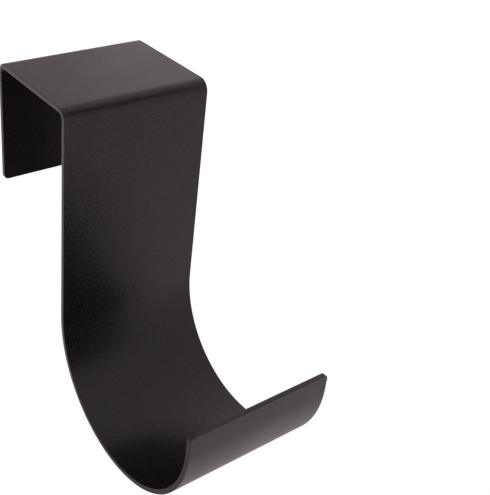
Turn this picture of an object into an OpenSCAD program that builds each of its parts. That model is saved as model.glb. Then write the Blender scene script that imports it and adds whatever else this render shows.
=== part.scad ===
// Over-panel headphone hook: one strip of sheet steel. Two square bends seat it
// over the top edge of a panel, and the front end rolls up into a half-round cradle.
// X runs across the strip, -Y points to the cradle and +Z is up. The origin is the
// middle of the bridge's underside, where the hook sits on the panel.

/* [Strip] */
// Width of the strip
strip_w = 50; // [30:1:80]
// Thickness of the sheet with its coating
sheet_t = 1.6; // [1:0.1:3]
// Inside radius of the two square bends
bend_r = 2; // [1:0.5:6]
// Radius of the four corners at the strip's ends
corner_r = 1.5; // [0.5:0.5:3.5]

/* [Panel slot] */
// Clear gap between the back flange and the front strap
panel_gap = 38; // [20:1:60]
// How far the back flange hangs below the bridge's underside
flange_drop = 39.5; // [20:0.5:80]

/* [Cradle] */
// How far the front strap runs straight down below the bridge's underside
strap_drop = 70.5; // [40:0.5:120]
// Inside radius of the half-round cradle
cradle_r = 33.5; // [15:0.5:50]
// Height of the straight lip above the cradle's centre line
lip_h = 6; // [4:0.5:20]

/* [Hidden] */
$fn = 96;
half_w = strip_w / 2;
half_gap = panel_gap / 2;
cradle_y = -half_gap - sheet_t - cradle_r;

// A flat stretch of the strip, from z = 0 upwards, with its faces at y = 0 and sheet_t.
module flat(length) {
    translate([-half_w, 0, 0]) cube([strip_w, sheet_t, length]);
}

// Outline of a flat stretch that ends the strip, with its two far corners rounded.
module end_outline(length) {
    translate([-half_w, 0]) square([strip_w, length - corner_r]);
    translate([corner_r - half_w, 0]) square([strip_w - 2 * corner_r, length]);
    for (side = [-1, 1])
        translate([side * (half_w - corner_r), length - corner_r]) circle(corner_r);
}

// A flat stretch that ends the strip, placed as flat() is.
module end_flat(length) {
    translate([0, sheet_t, 0]) rotate([90, 0, 0])
        linear_extrude(sheet_t) end_outline(length);
}

// A bend about the X axis, from the angle start, counted from +Y towards +Z.
module bend(inner_r, start, sweep) {
    rotate([start, 0, 0]) rotate([90, 0, 90])
        rotate_extrude(angle = sweep)
            translate([inner_r, -half_w]) square([sheet_t, strip_w]);
}

module back_flange() {
    translate([0, half_gap, -bend_r]) mirror([0, 0, 1]) end_flat(flange_drop - bend_r);
}

module bridge() {
    translate([0, bend_r - half_gap, sheet_t])
        rotate([-90, 0, 0]) flat(panel_gap - 2 * bend_r);
    translate([0, half_gap - bend_r, -bend_r]) bend(bend_r, 0, 90);
    translate([0, bend_r - half_gap, -bend_r]) bend(bend_r, 90, 90);
}

module front_strap() {
    translate([0, -half_gap - sheet_t, -strap_drop]) flat(strap_drop - bend_r);
}

module cradle() {
    translate([0, cradle_y, -strap_drop]) bend(cradle_r, 180, 180);
    translate([0, cradle_y - cradle_r - sheet_t, -strap_drop]) end_flat(lip_h);
}

// The whole hook is one blank, so its stretches join into one solid.
module hook_strip() {
    color([0.17, 0.165, 0.17]) union() {
        back_flange();
        bridge();
        front_strap();
        cradle();
    }
}

hook_strip();
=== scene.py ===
"""Looks of the over-panel headphone hook: one bent strip of steel with a fine-textured
black powder coat, in a plain studio that clips to white. Metres, in the CAD's frame."""
import math

import bmesh
import bpy
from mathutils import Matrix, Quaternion, Vector


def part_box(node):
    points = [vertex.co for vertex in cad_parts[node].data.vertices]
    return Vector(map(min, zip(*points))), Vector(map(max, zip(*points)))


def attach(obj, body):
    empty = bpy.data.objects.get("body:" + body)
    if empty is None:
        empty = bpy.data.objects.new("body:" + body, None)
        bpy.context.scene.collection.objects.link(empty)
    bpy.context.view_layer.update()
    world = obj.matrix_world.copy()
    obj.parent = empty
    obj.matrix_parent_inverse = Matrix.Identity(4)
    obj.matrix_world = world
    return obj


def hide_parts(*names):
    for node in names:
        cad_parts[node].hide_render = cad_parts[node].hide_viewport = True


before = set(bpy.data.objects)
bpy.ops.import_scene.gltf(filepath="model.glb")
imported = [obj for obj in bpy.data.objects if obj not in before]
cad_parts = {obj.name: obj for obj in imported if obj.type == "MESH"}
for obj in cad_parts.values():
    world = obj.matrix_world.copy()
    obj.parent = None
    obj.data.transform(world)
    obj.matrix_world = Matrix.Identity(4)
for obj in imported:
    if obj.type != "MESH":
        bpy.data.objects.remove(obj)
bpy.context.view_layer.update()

MM = 0.001
low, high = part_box("hook_strip")

# The strip, worked out from the CAD box. The frame's origin is the middle of the
# bridge's underside, so the box's top is the sheet's thickness above it.
STRIP_W = high.x - low.x
SHEET_T = high.z
HALF_GAP = high.y - SHEET_T
CRADLE_R = (-low.y - HALF_GAP - 2 * SHEET_T) / 2
STRAP_DROP = -low.z - CRADLE_R - SHEET_T
BEND_R = 2.0 * MM
FLANGE_DROP = 39.5 * MM
LIP_H = 6.0 * MM
CORNER_R = 1.5 * MM

# Finish of the cut edges, and how finely the strip is meshed.
EDGE_R = 0.16 * MM         # cut edge, deburred and softened by the coating
EDGE_MARGIN = 0.08 * MM    # flat band that keeps the rounding off the faces' shading
EDGE_BULGE = 0.1 * MM      # how far the sheet's edge swells inside a tight bend
BULGE_REACH = 2.5 * MM     # how far in from the edge the swelling fades out
EDGE_STEPS = 4
CORNER_STEPS = 6
ROW_PITCH = 1.5 * MM
BEND_STEPS = 14
CRADLE_STEPS = 96
COLUMNS = 36

# Fitted to this studio, whose surround is brighter than a real one. A powder coat has
# about 1.5, which is the better value under other light.
COAT_IOR = 1.345


def stretches():
    """(length, turn) of each stretch of the sheet's middle line, from flange to lip."""
    mid_bend = BEND_R + SHEET_T / 2
    mid_cradle = CRADLE_R + SHEET_T / 2
    quarter, half = math.pi / 2, math.pi
    return [
        (FLANGE_DROP - BEND_R, 0),
        (mid_bend * quarter, quarter),
        (2 * (HALF_GAP - BEND_R), 0),
        (mid_bend * quarter, quarter),
        (STRAP_DROP - BEND_R, 0),
        (mid_cradle * half, -half),
        (LIP_H, 0),
    ]


def place(s):
    """Point (y, z) of the middle line at distance s from the flange's end, and the
    heading there, counted from +Y towards +Z."""
    y, z, heading = HALF_GAP + SHEET_T / 2, -FLANGE_DROP, math.pi / 2
    runs = stretches()
    for i, (length, turn) in enumerate(runs):
        last = i == len(runs) - 1
        part = s if last else min(s, length)
        if turn:
            radius = length / turn
            after = heading + turn * part / length
            y += radius * (math.sin(after) - math.sin(heading))
            z -= radius * (math.cos(after) - math.cos(heading))
            heading = after
        else:
            y += part * math.cos(heading)
            z += part * math.sin(heading)
        s -= part
        if s <= 0:
            break
    return y, z, heading


def swelling(s):
    """Share of the edge bulge at distance s: 1 in the middle of a square bend."""
    start, share = 0, 0
    for length, turn in stretches():
        if turn > 0:
            reach = length / 2 + SHEET_T
            away = abs(s - start - length / 2) / reach
            share = max(share, math.cos(min(away, 1) * math.pi / 2) ** 2)
        start += length
    return share


def bent(x, s, n):
    """Where the blank's point x across, s along and n above its middle lies when bent."""
    y, z, heading = place(s)
    near_edge = max(0, (abs(x) - STRIP_W / 2 + BULGE_REACH) / BULGE_REACH) ** 2
    x -= math.copysign(EDGE_BULGE * near_edge * swelling(s) * 2 * n / SHEET_T, x)
    return Vector((x, y + n * math.sin(heading), z - n * math.cos(heading)))


def row_keys():
    """One key per row of the blank: ("start" or "end", angle round the corner), or
    ("mid", distance along)."""
    angles = [math.pi / 2 * i / CORNER_STEPS for i in range(CORNER_STEPS + 1)]
    rows = [("start", a) for a in angles]
    start, total = 0, sum(length for length, _ in stretches())
    for length, turn in stretches():
        if turn:
            steps = BEND_STEPS if turn > 0 else CRADLE_STEPS
        else:
            steps = max(1, round(length / ROW_PITCH))
        for i in range(steps + 1):
            s = start + length * i / steps
            clear = CORNER_R + ROW_PITCH / 2 < s < total - CORNER_R - ROW_PITCH / 2
            if clear and s > (rows[-1][1] if rows[-1][0] == "mid" else 0) + 1e-9:
                rows.append(("mid", s))
        start += length
    return rows + [("end", a) for a in reversed(angles)]


def row_at(key, inset, total):
    """Distance along and half the width of one row of the blank, drawn in by inset."""
    kind, value = key
    if kind == "mid":
        return value, STRIP_W / 2 - inset
    radius = CORNER_R - inset
    s = CORNER_R - radius * math.cos(value)
    half = STRIP_W / 2 - CORNER_R + radius * math.sin(value)
    return (s if kind == "start" else total - s), half


def build_strip():
    """The strip as one closed mesh: two gridded faces, joined round the cut edge."""
    mesh = bmesh.new()
    keys = row_keys()
    total = sum(length for length, _ in stretches())
    across = [2 * j / COLUMNS - 1 for j in range(COLUMNS + 1)]

    def point(row, u, inset, n):
        s, half = row_at(keys[row], inset, total)
        return mesh.verts.new(bent(half * u, s, n))

    def face_grid(n):
        inset = EDGE_R + EDGE_MARGIN
        grid = [[point(k, u, inset, n) for u in across] for k in range(len(keys))]
        for a, b in zip(grid, grid[1:]):
            for j in range(COLUMNS):
                mesh.faces.new((a[j], a[j + 1], b[j + 1], b[j]))
        return around(grid)

    def around(grid):
        right = [row[-1] for row in grid[1:-1]]
        left = [row[0] for row in grid[1:-1]]
        return grid[0] + right + grid[-1][::-1] + left[::-1]

    def ring(inset, n):
        last = len(keys) - 1
        places = [(0, u) for u in across] + [(k, 1) for k in range(1, last)]
        places += [(last, u) for u in across[::-1]]
        places += [(k, -1) for k in range(last - 1, 0, -1)]
        return [point(k, u, inset, n) for k, u in places]

    def side_profile():
        """(inset, n) of the rings round the edge, from the upper face to the lower."""
        half_t = SHEET_T / 2
        turns = [math.pi / 2 * i / EDGE_STEPS for i in range(EDGE_STEPS + 1)]
        upper = [(EDGE_R * (1 - math.sin(a)), half_t - EDGE_R * (1 - math.cos(a)))
                 for a in turns]
        return upper + [(0, 0)] + [(inset, -n) for inset, n in reversed(upper)]

    rings = [face_grid(SHEET_T / 2)]
    rings += [ring(inset, n) for inset, n in side_profile()]
    rings.append(face_grid(-SHEET_T / 2))
    for a, b in zip(rings, rings[1:]):
        for i in range(len(a)):
            j = (i + 1) % len(a)
            mesh.faces.new((a[i], a[j], b[j], b[i]))
    bmesh.ops.recalc_face_normals(mesh, faces=mesh.faces)
    for face in mesh.faces:
        face.smooth = True
    data = bpy.data.meshes.new("coated_strip")
    mesh.to_mesh(data)
    mesh.free()
    strip = bpy.data.objects.new("coated_strip", data)
    bpy.context.collection.objects.link(strip)
    return strip


# ---------------------------------------------------------------- materials

def node(tree, kind, inputs=None, **settings):
    """A new node with its settings and the values or links of its inputs."""
    made = tree.nodes.new(kind)
    for name, value in settings.items():
        setattr(made, name, value)
    for name, value in (inputs or {}).items():
        if isinstance(value, bpy.types.NodeSocket):
            tree.links.new(value, made.inputs[name])
        else:
            made.inputs[name].default_value = value
    return made


def ramp(tree, factor, stops):
    """A colour ramp with (position, colour) stops."""
    made = node(tree, "ShaderNodeValToRGB", {"Fac": factor})
    elements = made.color_ramp.elements
    for element, (position, colour) in zip(elements, stops):
        element.position = position
        element.color = (*colour, 1)
    return made.outputs["Color"]


def powder_coat():
    """Black powder coat with a fine sandy texture."""
    material = bpy.data.materials.new("black_powder_coat")
    material.use_nodes = True
    tree = material.node_tree
    shader = tree.nodes["Principled BSDF"]
    place_on = node(tree, "ShaderNodeTexCoord").outputs["Object"]

    grain = node(tree, "ShaderNodeTexNoise", {
        "Vector": place_on, "Scale": 2300, "Detail": 2, "Roughness": 0.6})
    cells = node(tree, "ShaderNodeTexVoronoi", {
        "Vector": place_on, "Scale": 1700, "Smoothness": 0.5}, feature="SMOOTH_F1")
    cloud = node(tree, "ShaderNodeTexNoise", {
        "Vector": place_on, "Scale": 70, "Detail": 2})

    specks = node(tree, "ShaderNodeTexNoise", {
        "Vector": place_on, "Scale": 2900, "Detail": 1, "Roughness": 0.5})
    colour = ramp(tree, specks.outputs["Fac"], [
        (0.48, (0.0002, 0.0002, 0.0006)), (0.74, (0.0132, 0.0124, 0.0195))])
    rough = node(tree, "ShaderNodeMapRange", {
        "Value": cloud.outputs["Fac"], "From Min": 0.3, "From Max": 0.7,
        "To Min": 0.31, "To Max": 0.35})
    height = node(tree, "ShaderNodeMath", {
        0: grain.outputs["Fac"], 1: cells.outputs["Distance"]}, operation="ADD")
    bump = node(tree, "ShaderNodeBump", {
        "Height": height.outputs[0], "Strength": 0.6, "Distance": 0.04 * MM})
    tree.links.new(colour, shader.inputs["Base Color"])
    tree.links.new(rough.outputs["Result"], shader.inputs["Roughness"])
    tree.links.new(bump.outputs["Normal"], shader.inputs["Normal"])
    shader.inputs["IOR"].default_value = COAT_IOR
    return material


def matt(name, albedo, glow):
    """A plain matt surface for the studio, which may glow of its own."""
    material = bpy.data.materials.new(name)
    material.use_nodes = True
    shader = material.node_tree.nodes["Principled BSDF"]
    shader.inputs["Base Color"].default_value = (albedo, albedo, albedo, 1)
    shader.inputs["Roughness"].default_value = 1.0
    shader.inputs["Specular IOR Level"].default_value = 0
    shader.inputs["Emission Color"].default_value = LIGHT_COLOUR
    shader.inputs["Emission Strength"].default_value = glow
    return material


# ---------------------------------------------------------------- studio

FLOOR_GAP = 80 * MM
FLOOR_SIZE = 6.0
FLOOR_ALBEDO, FLOOR_GLOW = 0.3, 0.74
# Warmer than white, for the tint of the coat's highlights. Bare background still clips.
LIGHT_COLOUR = (1.16, 1.0, 1.005, 1)
WORLD_LEVEL = 1.0
# What brightens one side of the world: gain, sharpness and direction.
GLOW_GAIN, GLOW_SHARPNESS = 0.30, 10.0
GLOW_AZIMUTH, GLOW_ELEVATION = math.radians(22), math.radians(45)
# Grey cards that only the hook's gloss sees: middle and size in mm, tilt and turn in
# degrees, and albedo. bend_card makes the dark line under the front bend. The others only
# even out brightness in the camera's own view, at the left cut edge's lower end, the
# lip's underside and the back of the bridge, and can be left out of any other.
CARD_LIFT = 1.6
ON_FLOOR = (low.z - FLOOR_GAP) / MM + CARD_LIFT
CARDS = {
    "bend_card": ((14, -47, 28), (64, 24), 45, 0, 0.46),
    "edge_card": ((-60, -5, ON_FLOOR), (120, 100), 0, 25, 0.50),
    "lip_card": ((70, -25, ON_FLOOR), (120, 150), 0, 0, 0.70),
    "back_card": ((50, 275, 115), (210, 200), 90, -6, 0.72),
}

CAMERA_AZIMUTH = math.radians(-38.98)
CAMERA_ELEVATION = math.radians(31.31)
CAMERA_ROLL = math.radians(5.44)
CAMERA_DISTANCE = 0.28033
CAMERA_LENS = 65.33
CAMERA_SHIFT = (0.1, -0.06)
AIM_RIGHT, AIM_UP = 12.37 * MM, 16.37 * MM


def studio_floor():
    """A wide pale floor below the hook."""
    mesh = bmesh.new()
    bmesh.ops.create_grid(mesh, x_segments=8, y_segments=8, size=FLOOR_SIZE / 2)
    data = bpy.data.meshes.new("studio_floor")
    mesh.to_mesh(data)
    mesh.free()
    floor = bpy.data.objects.new("studio_floor", data)
    floor.location.z = low.z - FLOOR_GAP
    bpy.context.collection.objects.link(floor)
    data.materials.append(matt("light_table", FLOOR_ALBEDO, FLOOR_GLOW))
    return floor


def studio_camera():
    """The camera, aimed near the middle of the hook from its front left."""
    data = bpy.data.cameras.new("studio_camera")
    data.lens = CAMERA_LENS
    data.sensor_width = 36
    data.shift_x, data.shift_y = CAMERA_SHIFT
    data.clip_start = 0.01
    data.clip_end = 100
    camera = bpy.data.objects.new("studio_camera", data)
    bpy.context.collection.objects.link(camera)
    level = math.cos(CAMERA_ELEVATION)
    back = Vector((math.sin(CAMERA_AZIMUTH) * level,
                   -math.cos(CAMERA_AZIMUTH) * level,
                   math.sin(CAMERA_ELEVATION)))
    upright = (-back).to_track_quat("-Z", "Y")
    turned = upright @ Quaternion((0, 0, 1), CAMERA_ROLL)
    offset = turned @ Vector((AIM_RIGHT, AIM_UP, 0))
    camera.rotation_mode = "QUATERNION"
    camera.rotation_quaternion = turned
    camera.location = (low + high) / 2 + offset + back * CAMERA_DISTANCE
    return camera


def grey_card(name, middle, size, tilt, turn, albedo):
    """A grey card, out of sight of the camera and the floor."""
    mesh = bmesh.new()
    bmesh.ops.create_grid(mesh, x_segments=1, y_segments=1, size=0.5)
    data = bpy.data.meshes.new(name)
    mesh.to_mesh(data)
    mesh.free()
    card = bpy.data.objects.new(name, data)
    card.scale = (size[0] * MM, size[1] * MM, 1)
    card.location = Vector(middle) * MM
    card.rotation_euler = (math.radians(tilt), 0, math.radians(turn))
    card.visible_camera = False
    card.visible_diffuse = False
    card.visible_shadow = False
    bpy.context.collection.objects.link(card)
    data.materials.append(matt(name + "_paper", albedo, 0))
    return card


def studio_world():
    """Soft, slightly warm light from all round, a little stronger from one side."""
    world = bpy.data.worlds.new("studio_world")
    world.use_nodes = True
    tree = world.node_tree
    heading = node(tree, "ShaderNodeTexCoord").outputs["Generated"]
    flat = math.cos(GLOW_ELEVATION)
    towards = (math.cos(GLOW_AZIMUTH) * flat, math.sin(GLOW_AZIMUTH) * flat,
               math.sin(GLOW_ELEVATION))
    facing = node(tree, "ShaderNodeVectorMath", {
        0: heading, 1: towards}, operation="DOT_PRODUCT")
    front = node(tree, "ShaderNodeMath", {
        0: facing.outputs["Value"], 1: 0.0}, operation="MAXIMUM")
    glow = node(tree, "ShaderNodeMath", {
        0: front.outputs[0], 1: GLOW_SHARPNESS}, operation="POWER")
    level = node(tree, "ShaderNodeMath", {
        0: glow.outputs[0], 1: GLOW_GAIN, 2: WORLD_LEVEL}, operation="MULTIPLY_ADD")
    background = tree.nodes["Background"]
    background.inputs["Color"].default_value = LIGHT_COLOUR
    tree.links.new(level.outputs[0], background.inputs["Strength"])
    bpy.context.scene.world = world


strip = build_strip()
strip.data.materials.append(powder_coat())
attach(strip, "root")
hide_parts("hook_strip")

studio_floor()
for name, card in CARDS.items():
    grey_card(name, *card)
studio_world()
bpy.context.scene.camera = studio_camera()
bpy.context.scene.view_settings.view_transform = "Standard"
